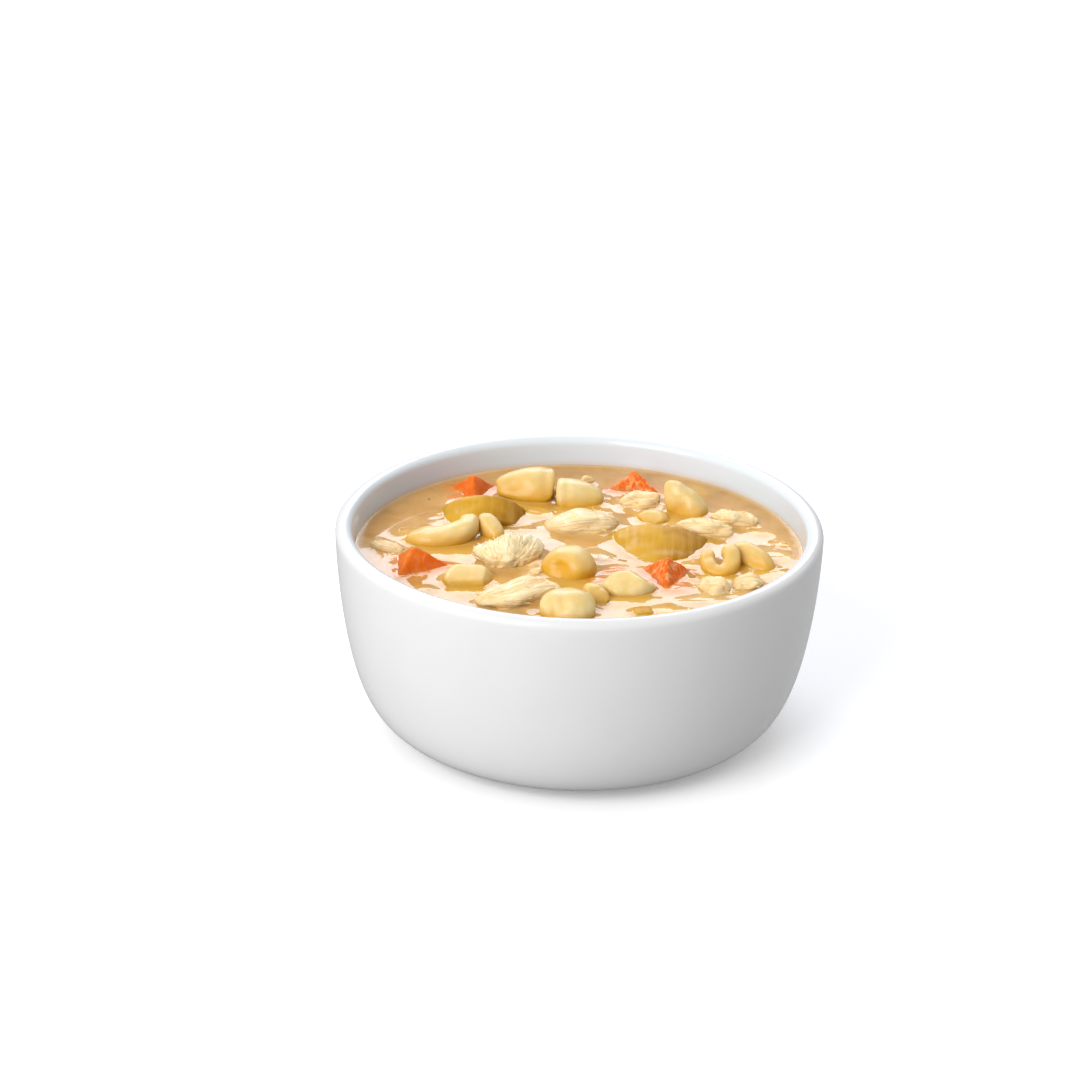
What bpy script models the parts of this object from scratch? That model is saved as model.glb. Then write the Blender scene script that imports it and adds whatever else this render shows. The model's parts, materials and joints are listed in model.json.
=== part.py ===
"""A small white bowl of chicken noodle soup.

Units are metres and +Z is up. The origin is on the table, under the middle of the bowl.
The bowl and the broth are turned solids. The noodles, carrots, celery and chicken float
in the broth, which is cut round each of them with a small gap.
"""

from math import atan, cos, exp, pi, radians, sin, sqrt
from random import Random

import bmesh
import bpy
from mathutils import Euler, Matrix, Vector

MM = 0.001

# Bowl
RIM_RADIUS = 60 * MM
BOWL_HEIGHT = 52.7 * MM
FOOT_HEIGHT = 1.5 * MM
FOOT_OUTER = 36.5 * MM
FOOT_INNER = 31.5 * MM
FOOT_EDGE = 0.8 * MM
LIP_RADIUS = 2.1 * MM
BASE_RADIUS = 28.5 * MM
FLOOR_HEIGHT = 6.0 * MM
FLOOR_RADIUS = 26.0 * MM
WALL_SQUARENESS = (1.57, 6)
SIDES = 48

# Broth
BROTH_LEVEL = BOWL_HEIGHT - 8 * MM
GAP = 0.3 * MM

# Smoothness of the bowl's wall and of the floating pieces
OUTER_POINTS = 9
INNER_POINTS = 7
CURL_STEP = 28
STRAND_RINGS = 12
BEAD_RINGS = 8
SHRED_RINGS = 7
SECTION_POINTS = 8
SHARP_EDGE = 50

# Small features of the floating pieces
CARROT_EDGE = 0.6 * MM
CELERY_RIB = 0.22 * MM
CELERY_INNER_POINTS = 5


# ---------------------------------------------------------------- materials


def material(name, colour, roughness):
    """A plain food or glaze finish."""
    made = bpy.data.materials.new(name)
    made.use_nodes = True
    shader = made.node_tree.nodes["Principled BSDF"]
    shader.inputs["Base Color"].default_value = (*colour, 1)
    shader.inputs["Roughness"].default_value = roughness
    shader.inputs["Metallic"].default_value = 0
    made.diffuse_color = (*colour, 1)
    return made


def make_materials():
    return {
        "glaze": material("white_glaze", (0.86, 0.86, 0.85), 0.12),
        "broth": material("broth", (0.58, 0.31, 0.11), 0.08),
        "noodle": material("noodle", (0.90, 0.72, 0.36), 0.25),
        "carrot": material("carrot", (0.80, 0.20, 0.03), 0.25),
        "celery": material("celery", (0.62, 0.44, 0.06), 0.22),
        "chicken": material("chicken", (0.84, 0.66, 0.42), 0.35),
    }


# ------------------------------------------------------------ shared helpers


def clear_scene():
    for thing in list(bpy.data.objects):
        bpy.data.objects.remove(thing)


def link(name, mesh, finish):
    """A new object in the scene, shaded smooth but for its sharp edges."""
    mesh.shade_smooth()
    mesh.set_sharp_from_angle(angle=radians(SHARP_EDGE))
    made = bpy.data.objects.new(name, mesh)
    made.data.materials.append(finish)
    bpy.context.scene.collection.objects.link(made)
    return made


def face_outwards(form):
    """Turns every face of a closed form outwards."""
    bmesh.ops.recalc_face_normals(form, faces=form.faces)
    if form.calc_volume(signed=True) < 0:
        bmesh.ops.reverse_faces(form, faces=form.faces)


def mesh_from(name, form):
    """Closes a bmesh into a mesh whose faces point out."""
    face_outwards(form)
    mesh = bpy.data.meshes.new(name)
    form.to_mesh(mesh)
    form.free()
    return mesh


def turned(name, profile, finish):
    """A solid of revolution from (radius, height) points that run from the axis to the axis."""
    form = bmesh.new()
    rings = []
    for radius, height in profile:
        if radius == 0:
            rings.append([form.verts.new((0, 0, height))])
            continue
        angles = (2 * pi * side / SIDES for side in range(SIDES))
        rings.append([form.verts.new((radius * cos(a), radius * sin(a), height)) for a in angles])
    for low, high in zip(rings, rings[1:]):
        for side in range(SIDES):
            after = (side + 1) % SIDES
            corners = [low[side % len(low)], low[after % len(low)]]
            corners += [high[after % len(high)], high[side % len(high)]]
            form.faces.new(list(dict.fromkeys(corners)))
    return link(name, mesh_from(name, form), finish)


def skin(rings):
    """Joins rings of points into one closed tube with flat ends."""
    form = bmesh.new()
    rows = [[form.verts.new(point) for point in ring] for ring in rings]
    count = len(rows[0])
    for row, following in zip(rows, rows[1:]):
        for i in range(count):
            j = (i + 1) % count
            form.faces.new((row[i], row[j], following[j], following[i]))
    form.faces.new(rows[0])
    form.faces.new(rows[-1])
    bmesh.ops.triangulate(form, faces=form.faces, quad_method="FIXED", ngon_method="BEAUTY")
    return form


def squared(value, squareness):
    """A cosine or sine bent from a circle's towards a square's."""
    return abs(value) ** (2 / squareness) * (1 if value > 0 else -1)


def section(
    centre, across, outward, width, depth, squareness=2.6, crown=0.0, slant=0.0, points=SECTION_POINTS
):
    """A ring of points round a centre: a squared oval whose middle may bow, or one side rise."""
    ring = []
    for i in range(points):
        angle = 2 * pi * (i + 0.5) / points
        aside = squared(cos(angle), squareness)
        up = squared(sin(angle), squareness) * depth / 2 - crown * aside**2 + slant * aside
        ring.append(centre + across * aside * width / 2 + outward * up)
    return ring


def rounding(along, bluntness=8):
    """How much of its full size a piece has at a place along it: less towards both ends."""
    return (1 - abs(2 * along - 1) ** bluntness) ** 0.4


def spread(count, inset=0.02):
    """Places along a piece, from one end to the other, closer together at the ends."""
    return [0.5 - (0.5 - inset) * cos(pi * i / (count - 1)) for i in range(count)]


# -------------------------------------------------------------------- bowl


def wall_radius(share, base, top):
    """Radius of a rounded bowl wall, at a share of its height from the base to the rim."""
    turn, corner = WALL_SQUARENESS
    return base + (top - base) * (1 - (1 - share) ** turn) ** (1 / corner)


def wall(base, top, low, high, count, first=0.0):
    """(radius, height) points up a wall, set closer together where it turns the corner."""
    crowding = 2.4
    shares = [first + (1 - first) * (i / (count - 1)) ** crowding for i in range(count)]
    return [(wall_radius(share, base, top), low + (high - low) * share) for share in shares]


def inner_wall():
    """The inside of the bowl, from its floor up to the lip."""
    top = RIM_RADIUS - 2 * LIP_RADIUS
    return wall(FLOOR_RADIUS, top, FLOOR_HEIGHT, BOWL_HEIGHT - LIP_RADIUS, INNER_POINTS)


def make_bowl(finish):
    """Outer wall, round lip, inner wall and a foot ring with a shallow recess inside it."""
    lip_start = BOWL_HEIGHT - LIP_RADIUS
    outer = wall(BASE_RADIUS, RIM_RADIUS, FOOT_HEIGHT, lip_start, OUTER_POINTS, first=0.0004)
    outer = [(r, z) for r, z in outer if r > FOOT_OUTER + FOOT_EDGE]
    lip = []
    for angle in (radians(degree) for degree in (45, 90, 135)):
        across = RIM_RADIUS - LIP_RADIUS + LIP_RADIUS * cos(angle)
        lip.append((across, lip_start + LIP_RADIUS * sin(angle)))
    recess = FOOT_HEIGHT * 0.8
    foot = [(0, recess), (FOOT_INNER - FOOT_EDGE, recess), (FOOT_INNER, 0)]
    foot += [(FOOT_OUTER - FOOT_EDGE, 0), (FOOT_OUTER, FOOT_HEIGHT)]
    return turned("bowl", foot + outer + lip + inner_wall()[::-1] + [(0, FLOOR_HEIGHT)], finish)


# ------------------------------------------------------------------- broth


def make_broth(finish):
    """Fills the bowl to the level, a gap inside its wall."""
    side = inner_wall()
    below = [(r - GAP, z + GAP) for r, z in side if z < BROTH_LEVEL]
    (low_radius, low), (high_radius, high) = side[len(below) - 1 : len(below) + 1]
    edge = low_radius + (high_radius - low_radius) * (BROTH_LEVEL - low) / (high - low)
    profile = [(0, FLOOR_HEIGHT + GAP)] + below + [(edge - GAP, BROTH_LEVEL), (0, BROTH_LEVEL)]
    return turned("broth", profile, finish)


# ------------------------------------------------- forms of floating pieces


def curl(width, thickness, radius, sweep, flare=0.0, crown=0.0, slant=0.0):
    """A lobe of a spiral noodle: a ribbon bent round the X axis, its crest at the top."""
    rings = []
    for along in spread(2 + round(sweep / CURL_STEP)):
        angle = radians(sweep) * (along - 0.5)
        outward = Vector((0, sin(angle), cos(angle)))
        across = (Vector((1, 0, 0)) + outward * flare).normalized()
        centre = outward * (radius - thickness / 2)
        size = rounding(along)
        shape = dict(crown=crown, slant=slant)
        rings.append(section(centre, across, outward, width * size, thickness * size, **shape))
    return skin(rings)


def strand(path, width, thickness, tip=1.0):
    """A noodle arm: an oval strand through the points of a path, tapering to its tip."""
    points = [Vector(point) * MM for point in path]
    points = [2 * points[0] - points[1]] + points + [2 * points[-1] - points[-2]]
    spans = len(points) - 3
    rings = []
    for along in spread(STRAND_RINGS, inset=0.01):
        at = min(along * spans, spans - 0.001)
        first = int(at)
        t = at - first
        a, b, c, d = points[first : first + 4]
        bow = 2 * a - 5 * b + 4 * c - d
        twist = 3 * b - a - 3 * c + d
        centre = b + (c - a) * t / 2 + bow * t**2 / 2 + twist * t**3 / 2
        ahead = (c - a) / 2 + bow * t + twist * t**2 * 1.5
        across = Vector((0, 0, 1)).cross(ahead).normalized()
        outward = ahead.cross(across).normalized()
        size = rounding(along) * (1 + (tip - 1) * along**2)
        rings.append(section(centre, across, outward, width * size, thickness * size))
    return skin(rings)


def bead(length, width, height, bluntness=2.0, squareness=2.6, fineness=1, dimple=None):
    """A noodle lobe seen from outside: a plump lens, perhaps with a dimple pressed into it."""
    across = Vector((0, 1, 0))
    up = Vector((0, 0, 1))
    shape = dict(squareness=squareness, points=round(SECTION_POINTS * fineness))
    rings = []
    for along in spread(round(BEAD_RINGS * fineness), inset=0.03):
        size = (1 - abs(2 * along - 1) ** bluntness) ** 0.7
        centre = Vector((length * (along - 0.5), 0, 0))
        rings.append(section(centre, across, up, width * size, height * size, **shape))
    form = skin(rings)
    if dimple:
        press(form, *dimple)
    return form


def press(form, place, reach, depth):
    """Presses a round hollow into a form near a place, towards the form's middle. All in mm."""
    spot = Vector(place) * MM
    for vert in form.verts:
        gap = (vert.co - spot).length / (reach * MM)
        vert.co -= spot.normalized() * depth * MM * exp(-gap * gap)


def shred(length, width, height, ridges, seed):
    """A torn lump of meat: ridged along its fibres, uneven, and pinched at its ends."""
    chance = Random(seed)
    phases = [chance.uniform(0, 2 * pi) for _ in range(4)]
    rings = []
    for along in spread(SHRED_RINGS, inset=0.03):
        swell = sin(pi * along) ** 0.5
        x = length * (along - 0.5)
        sway = 0.07 * width * sin(5 * along + phases[0])
        ring = []
        for side in range(SECTION_POINTS):
            angle = 2 * pi * side / SECTION_POINTS
            lump = 1 + 0.12 * cos(ridges * angle + 2 * along + phases[1])
            lump += 0.10 * sin(9 * along + 2 * angle + phases[2]) * sin(pi * along)
            lump += 0.06 * cos(3 * angle - 6 * along + phases[3])
            y = cos(angle) * width / 2 * swell * lump + sway
            z = sin(angle) * height / 2 * swell * lump
            ring.append(Vector((x, y, z)))
        rings.append(ring)
    return skin(rings)


def dice(length, width, height, taper):
    """A diced carrot standing on a corner: a block that narrows upwards, its edges a little worn."""
    form = bmesh.new()
    bmesh.ops.create_cube(form, size=1)
    for vert in form.verts:
        x, y, z = vert.co
        shrink = 1 - taper * (z + 0.5)
        vert.co = Vector((x * length * shrink, y * width * shrink, z * height))
    bmesh.ops.bevel(form, geom=form.edges[:], offset=CARROT_EDGE, segments=1, affect="EDGES")
    quarter = Euler((0, 0, radians(45))).to_matrix()
    tipped = Euler((0, atan(sqrt(2)), 0)).to_matrix()
    facing_front = Euler((0, 0, pi)).to_matrix()
    form.transform((facing_front @ tipped @ quarter).to_4x4())
    return form


def crescent(span, thickness, cut, arc, ribs, front_slant=0.0, back_slant=0.0):
    """A piece cut across a celery stalk, its round side up and its strings along Y."""
    half = radians(arc) / 2
    radius = span / 2 / sin(half)
    outline = []
    for i in range(2 * ribs + 1):
        rib = CELERY_RIB if i % 2 else 0
        outline.append((radius + rib, half * (1 - i / ribs)))
    for i in range(CELERY_INNER_POINTS):
        share = (i + 1) / (CELERY_INNER_POINTS + 1)
        outline.append((radius - thickness * sin(pi * share) ** 0.5, half * (2 * share - 1)))
    rings = []
    for y, slant in ((-cut / 2, front_slant), (cut / 2, back_slant)):
        ring = []
        for r, angle in outline:
            x = r * sin(angle)
            ring.append(Vector((x, y + slant * x, r * cos(angle) - radius)))
        rings.append(ring)
    return skin(rings)


FORMS = {
    "curl": curl,
    "strand": strand,
    "bead": bead,
    "shred": shred,
    "dice": dice,
    "crescent": crescent,
}
NOT_LENGTHS = {"sweep", "flare", "tip", "bluntness", "squareness", "fineness", "dimple", "ridges"}
NOT_LENGTHS |= {"seed", "taper", "arc", "ribs", "front_slant", "back_slant", "path"}

# The noodles that bend freely, as points in mm from their place on the broth
HOOK_PATH = [
    (-7.6, 1.6, -2.8),
    (-4.2, -0.6, -0.6),
    (0.0, -1.2, 0.2),
    (4.0, 0.0, 1.2),
    (6.4, 3.0, 2.4),
    (6.0, 6.2, 3.4),
]
CONE_PATH = [
    (1.6, -1.2, -3.4),
    (0.4, -0.6, 0.6),
    (-2.4, 0.4, 4.4),
    (-4.6, 1.2, 7.2),
]
RING_PATH = [
    (-2.4, 3.0, 2.4),
    (-2.9, -0.4, 1.2),
    (-2.0, -3.6, 0.2),
    (0.4, -4.7, 0.0),
    (2.6, -3.0, 1.0),
    (2.9, 0.0, 2.8),
    (1.7, 2.8, 4.0),
]

# The hollow of the shell: its place, how far it reaches and its depth, in mm
SHELL_DIMPLE = ((-3.0, -4.2, 3.2), 2.6, 2.4)

# Each piece: its form, where it floats (x, y, and height over the broth, in mm), how it is turned
# (about X, Y and Z, in degrees) and its sizes (in mm, but for angles, shares and counts).
PIECES = {
    "noodle_back_tall": (
        "curl", (-14.2, 35.2, 0.0), (0, 0, 0),
        dict(width=15.2, thickness=3.4, radius=6.6, sweep=196, crown=0.8, slant=1.4),
    ),
    "noodle_back_low": (
        "curl", (0.0, 31.8, -1.4), (0, 0, 0),
        dict(width=12.2, thickness=3.4, radius=6.2, sweep=185, crown=0.5, slant=-1.5),
    ),
    "noodle_cone": (
        "strand", (27.0, 26.0, 0.2), (0, 0, 0),
        dict(path=CONE_PATH, width=8.4, thickness=11.0, tip=0.16),
    ),
    "noodle_cone_foot": ("bead", (18.8, 19.6, 0.0), (0, 0, -20), dict(length=8.4, width=6.6, height=4.6)),
    "noodle_hook": (
        "strand", (-34.2, 3.2, 0.4), (0, 0, 0),
        dict(path=HOOK_PATH, width=8.2, thickness=6.8, tip=0.52),
    ),
    "noodle_hook_lobe": (
        "bead", (-22.1, 7.5, 1.6), (0, 28, -52),
        dict(length=9.8, width=4.8, height=5.0, bluntness=3),
    ),
    "noodle_ring": (
        "strand", (34.3, -9.0, 0.1), (0, 0, 0),
        dict(path=RING_PATH, width=3.8, thickness=3.5, tip=1.15),
    ),
    "noodle_ring_lobe": (
        "bead", (42.9, -7.1, 0.8), (0, 20, -42),
        dict(length=13.4, width=6.4, height=6.4, bluntness=2.4),
    ),
    "noodle_gem": (
        "bead", (-26.3, -21.0, 0.2), (0, 0, 4),
        dict(length=12.6, width=9.0, height=6.6, bluntness=4, squareness=4),
    ),
    "noodle_shell": (
        "bead", (-2.3, -14.2, 0.7), (0, 0, -10),
        dict(length=13.8, width=11.0, height=11.0, bluntness=2.6, fineness=1.25, dimple=SHELL_DIMPLE),
    ),
    "noodle_front": (
        "curl", (-2.3, -37.2, -0.6), (0, 0, 0),
        dict(width=13.0, thickness=3.4, radius=6.4, sweep=200, crown=1.8),
    ),
    "noodle_front_tip": (
        "bead", (4.3, -29.4, 0.6), (0, 20, -50),
        dict(length=8.0, width=5.2, height=5.2, bluntness=3),
    ),
    "noodle_lemon": (
        "bead", (11.9, -24.0, 0.3), (0, 0, 4),
        dict(length=14.0, width=9.0, height=8.4, bluntness=2.2),
    ),
    "carrot_back_left": (
        "dice", (-28.2, 35.6, -4.6), (0, 0, -86),
        dict(length=12, width=12, height=12, taper=0.1),
    ),
    "carrot_front_left": (
        "dice", (-39.4, -13.0, -4.2), (0, 0, 3),
        dict(length=12.6, width=12.6, height=12.6, taper=0.1),
    ),
    "carrot_back": (
        "dice", (14.2, 41.0, -4.4), (0, 0, -35),
        dict(length=12, width=12, height=12, taper=0.1),
    ),
    "carrot_front": (
        "dice", (21.4, -15.9, -3.8), (0, 0, -94),
        dict(length=11.4, width=11.4, height=11.4, taper=0.1),
    ),
    "celery_left": (
        "crescent", (-24.2, 16.6, 2.8), (20, 2, 0),
        dict(span=24.4, thickness=4.4, cut=11.0, arc=92, ribs=5, front_slant=0.2),
    ),
    "celery_right": (
        "crescent", (21.2, 0.2, 1.3), (15, 3, 0),
        dict(span=27.8, thickness=5.4, cut=16.8, arc=58, ribs=6, front_slant=0.4, back_slant=-0.1),
    ),
    "celery_front": (
        "bead", (15.4, -36.8, -0.4), (0, 0, 10),
        dict(length=5.4, width=4.0, height=2.6, bluntness=4, squareness=3.4),
    ),
    "chicken_middle": (
        "shred", (-17.0, -7.4, 0.8), (0, 0, 14),
        dict(length=16.0, width=11.6, height=9.6, ridges=5, seed=3),
    ),
    "chicken_smooth": (
        "shred", (0.8, 13.6, 0.2), (0, 0, 16),
        dict(length=18.6, width=10.0, height=6.4, ridges=3, seed=8),
    ),
    "chicken_front": (
        "shred", (-14.0, -30.6, 0.4), (0, 0, 22),
        dict(length=21.6, width=9.6, height=7.0, ridges=5, seed=5),
    ),
    "chicken_back": (
        "shred", (15.6, 30.2, 0.1), (0, 0, 4),
        dict(length=10.6, width=8.0, height=5.2, ridges=4, seed=6),
    ),
    "chicken_back_tip": (
        "shred", (1.6, 43.4, 0.0), (0, -14, 30),
        dict(length=4.8, width=2.8, height=3.4, ridges=3, seed=2),
    ),
    "chicken_right_back": (
        "shred", (39.4, 19.2, 0.4), (0, 0, -22),
        dict(length=11.0, width=5.0, height=4.4, ridges=4, seed=11),
    ),
    "chicken_right": (
        "shred", (31.6, 12.6, 0.3), (0, 0, -18),
        dict(length=14.0, width=5.2, height=4.6, ridges=4, seed=12),
    ),
    "chicken_front_right": (
        "shred", (32.6, -22.8, 0.2), (0, 0, -8),
        dict(length=8.2, width=7.0, height=5.6, ridges=4, seed=14),
    ),
    "chicken_far_right": (
        "shred", (40.6, -20.6, 0.1), (0, 0, 28),
        dict(length=7.6, width=6.0, height=5.0, ridges=4, seed=15),
    ),
    "chicken_far_left": (
        "shred", (-47.4, -2.6, 0.0), (0, 0, -35),
        dict(length=9.6, width=4.4, height=3.4, ridges=4, seed=17),
    ),
}


def in_metres(sizes):
    """The same sizes with lengths in metres; angles, shares and counts keep their numbers."""
    return {name: value if name in NOT_LENGTHS else value * MM for name, value in sizes.items()}


def floated(form, place, turn):
    """Turns a form about its middle and floats it at its place."""
    x, y, lift = (value * MM for value in place)
    turning = Euler([radians(angle) for angle in turn]).to_matrix().to_4x4()
    form.transform(Matrix.Translation((x, y, BROTH_LEVEL + lift)) @ turning)
    return form


def grown(form, gap):
    """Moves every face of a form out by the gap."""
    face_outwards(form)
    form.normal_update()
    moves = [vert.normal * gap * vert.calc_shell_factor() for vert in form.verts]
    for vert, move in zip(form.verts, moves):
        vert.co += move
    return form


def make_piece(name, kind, place, turn, sizes, finish, cutters):
    """One floating piece, and the slightly larger cutter that makes room for it in the broth."""
    build = FORMS[kind]
    sizes = in_metres(sizes)
    link(name, mesh_from(name, floated(build(**sizes), place, turn)), finish)
    room_mesh = mesh_from(name + "_room", grown(floated(build(**sizes), place, turn), GAP))
    room = bpy.data.objects.new(name + "_room", room_mesh)
    room.hide_render = True
    room.display_type = "WIRE"
    cutters.objects.link(room)


def main():
    clear_scene()
    finishes = make_materials()
    make_bowl(finishes["glaze"])
    broth = make_broth(finishes["broth"])
    cutters = bpy.data.collections.new("rooms_in_the_broth")
    bpy.context.scene.collection.children.link(cutters)
    for name, (kind, place, turn, sizes) in PIECES.items():
        food = name.split("_")[0]
        make_piece(name, kind, place, turn, sizes, finishes[food], cutters)
    room = broth.modifiers.new("room_for_the_pieces", "BOOLEAN")
    room.operation = "DIFFERENCE"
    room.operand_type = "COLLECTION"
    room.collection = cutters
    room.solver = "EXACT"


main()
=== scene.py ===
# %% [markdown]
# # Chicken noodle soup in a small white bowl
#
# The frame holds the plain solids of the bowl, the broth and every piece of food.
# This script dresses them: each solid is replaced by a finer mesh of the same form,
# in the same place, with its own material. All lengths are in metres.

import json
from math import atan, cos, exp, hypot, pi, radians, sin, sqrt
from random import Random

import bmesh
import bpy
from mathutils import Euler, Matrix, Vector, noise
from mathutils.bvhtree import BVHTree

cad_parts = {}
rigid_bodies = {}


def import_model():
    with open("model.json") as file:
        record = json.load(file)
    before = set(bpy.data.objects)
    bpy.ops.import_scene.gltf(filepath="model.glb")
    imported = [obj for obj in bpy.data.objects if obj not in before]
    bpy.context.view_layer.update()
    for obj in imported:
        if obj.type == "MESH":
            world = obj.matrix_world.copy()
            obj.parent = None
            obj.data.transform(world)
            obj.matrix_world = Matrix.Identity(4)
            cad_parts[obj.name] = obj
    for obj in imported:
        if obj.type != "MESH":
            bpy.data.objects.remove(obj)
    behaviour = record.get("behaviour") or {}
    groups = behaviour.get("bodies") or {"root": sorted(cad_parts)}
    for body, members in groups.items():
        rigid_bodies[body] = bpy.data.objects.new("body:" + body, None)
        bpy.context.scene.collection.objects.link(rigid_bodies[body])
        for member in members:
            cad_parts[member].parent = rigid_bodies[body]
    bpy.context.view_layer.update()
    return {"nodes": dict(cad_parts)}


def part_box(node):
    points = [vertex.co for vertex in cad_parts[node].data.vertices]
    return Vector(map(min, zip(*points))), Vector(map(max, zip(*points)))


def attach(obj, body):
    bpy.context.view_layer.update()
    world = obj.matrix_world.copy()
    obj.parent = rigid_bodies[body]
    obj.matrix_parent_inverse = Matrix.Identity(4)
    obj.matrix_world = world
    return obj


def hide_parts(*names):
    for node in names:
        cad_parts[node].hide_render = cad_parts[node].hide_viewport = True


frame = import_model()
MM = 0.001
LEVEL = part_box("broth")[1].z
print("solids:", len(frame["nodes"]))
print(f"the broth stands at {LEVEL / MM:.1f} mm")

# %% [markdown]
# ## Shader maths as sums
#
# A finish could be wired by hand in the shader editor, but a node tree is easier to read
# and to change when it is written as a sum. A Wire stands for one socket: adding or
# multiplying wires adds Math nodes.


# %% Wires
def sign(operation, swapped=False):
    """A method that adds a Math node where Python meets a sign such as + or *."""

    def apply(self, other):
        values = (other, self) if swapped else (self, other)
        return self.math(operation, *values)

    return apply


class Wire:
    """One output socket of a material, for use in sums."""

    def __init__(self, finish, socket):
        self.finish = finish
        self.socket = socket

    def out(self, name):
        """Another output of the same node."""
        return Wire(self.finish, self.socket.node.outputs[name])

    def math(self, operation, *values, clamp=False):
        settings = {"operation": operation, "use_clamp": clamp}
        return self.finish.node("ShaderNodeMath", settings, dict(enumerate(values)))

    __add__ = sign("ADD")
    __radd__ = sign("ADD", swapped=True)
    __sub__ = sign("SUBTRACT")
    __rsub__ = sign("SUBTRACT", swapped=True)
    __mul__ = sign("MULTIPLY")
    __rmul__ = sign("MULTIPLY", swapped=True)
    __truediv__ = sign("DIVIDE")
    __pow__ = sign("POWER")

    def clamped(self):
        """The value kept between 0 and 1."""
        return self.math("ADD", self, 0, clamp=True)

    def step(self, low, high):
        """0 below low, 1 above high, and a straight slope between them."""
        return ((self - low) / (high - low)).clamped()


def methods(kind):
    """The names of a class's own methods, apart from those behind Python's signs."""
    return ", ".join(name for name in vars(kind) if not name.startswith("_"))


print("a wire has:", methods(Wire))

# %% [markdown]
# ## Finishes
#
# A Finish is one material round the Principled shader. Its node method adds any node,
# with its settings first and its sockets after. The other methods are the few nodes
# that every food needs: noise that stays with the piece, relief, a mix of two colours,
# and where a point lies, such as how far over the broth.


# %% Finishes
class Finish:
    """One material: its Principled shader, and a method that adds any node."""

    def __init__(self, name, plain):
        self.material = bpy.data.materials.new(name)
        self.material.use_nodes = True
        self.tree = self.material.node_tree
        self.shader = self.tree.nodes["Principled BSDF"]
        for socket, value in plain.items():
            self.shader.inputs[socket].default_value = value

    def node(self, kind, settings=None, sockets=None):
        """Adds a node: first its settings, then the values or wires of its sockets."""
        made = self.tree.nodes.new(kind)
        for name, value in (settings or {}).items():
            setattr(made, name, value)
        for name, value in (sockets or {}).items():
            self.put(self.find(made, name), value)
        shown = [socket for socket in made.outputs if socket.enabled]
        return Wire(self, shown[0])

    def find(self, made, name):
        """A node's input, by its number, its name or its identifier."""
        if isinstance(name, int):
            return made.inputs[name]
        fits = [socket for socket in made.inputs if name in (socket.identifier, socket.name)]
        return [socket for socket in fits if socket.enabled][0]

    def put(self, socket, value):
        if isinstance(value, Wire):
            self.tree.links.new(value.socket, socket)
        else:
            socket.default_value = value

    def set(self, name, value):
        """Feeds one of the shader's sockets."""
        self.put(self.shader.inputs[name], value)

    def place(self, stretch=(1, 1, 1)):
        """The point on the piece, in its own axes, stretched along them."""
        here = self.node("ShaderNodeTexCoord").out("Object")
        return self.vector("MULTIPLY", here, stretch)

    def noise(self, size, detail=3, rough=0.5, stretch=(1, 1, 1), warp=0):
        """Cloudy noise from 0 to 1, whose blots are about this size in metres."""
        sockets = {"Vector": self.place(stretch), "Scale": 1 / size, "Detail": detail}
        sockets |= {"Roughness": rough, "Distortion": warp}
        return self.node("ShaderNodeTexNoise", None, sockets)

    def vector(self, operation, *values):
        """Maths on whole vectors."""
        settings = {"operation": operation}
        return self.node("ShaderNodeVectorMath", settings, dict(enumerate(values)))

    def geometry(self, name):
        """A vector of the skin itself, such as its Position or its Normal."""
        return self.node("ShaderNodeNewGeometry").out(name)

    def axis(self, vector, name):
        """One of the three numbers of a vector."""
        return self.node("ShaderNodeSeparateXYZ", None, {0: vector}).out(name)

    def above_broth(self):
        """How far over the broth's level a point lies."""
        return self.axis(self.geometry("Position"), "Z") - LEVEL

    def upward(self):
        """1 where the skin faces up, 0 where it is upright."""
        return self.axis(self.geometry("Normal"), "Z").clamped()

    def outward(self):
        """1 where the skin faces away from the upright axis, -1 where it faces the axis."""
        aside = self.vector("NORMALIZE", self.place((1, 1, 0)))
        return self.vector("DOT_PRODUCT", self.geometry("Normal"), aside).out("Value")

    def mix(self, first, second, amount):
        """One colour over another, by an amount from 0 to 1."""
        settings = {"data_type": "RGBA"}
        sockets = {"Factor_Float": amount, "A_Color": colour(first), "B_Color": colour(second)}
        return self.node("ShaderNodeMix", settings, sockets)

    def attribute(self, name):
        """A number that the mesh carries at each of its points."""
        return self.node("ShaderNodeAttribute", {"attribute_name": name}).out("Fac")

    def bump(self, height, depth, under=None):
        """Small relief: height from 0 to 1, and how deep that is in metres."""
        sockets = {"Height": height, "Distance": depth, "Strength": 1.0}
        if under is not None:
            sockets["Normal"] = under
        return self.node("ShaderNodeBump", None, sockets)


def colour(value):
    """Adds the fourth channel that a colour socket asks for."""
    return (*value, 1) if isinstance(value, tuple) else value


FINISHES = {}


def keep(name, material):
    """Keeps a finish under the name that its pieces ask for."""
    FINISHES[name] = material
    print(name, "nodes:", len(material.node_tree.nodes))


print("a finish has:", methods(Finish))

# %% [markdown]
# ## The glaze
#
# The bowl is stoneware under a thick white glaze: a plain white whose gloss is a
# little uneven, because glaze pools while it melts. A faint wide bump and a small
# change in roughness are enough; more would look like plaster. Inside, the wall is a
# touch cooler, which makes up for the warm light from the soup. Just above the broth
# it is wet with it, and that band also carries a painted warm glow: the light that
# the broth would throw up on the wall, painted into the glaze's colour.

# %% Glaze
BOWL_WHITE = (0.81, 0.81, 0.81)
INSIDE_WHITE = (0.78, 0.84, 0.89)
POOLED_WHITE = (0.79, 0.79, 0.795)
# Wet broth on the inner wall, with a painted warm glow of light bounced off the broth.
BROTH_WET_AND_GLOW = (0.78, 0.52, 0.28)


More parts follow.
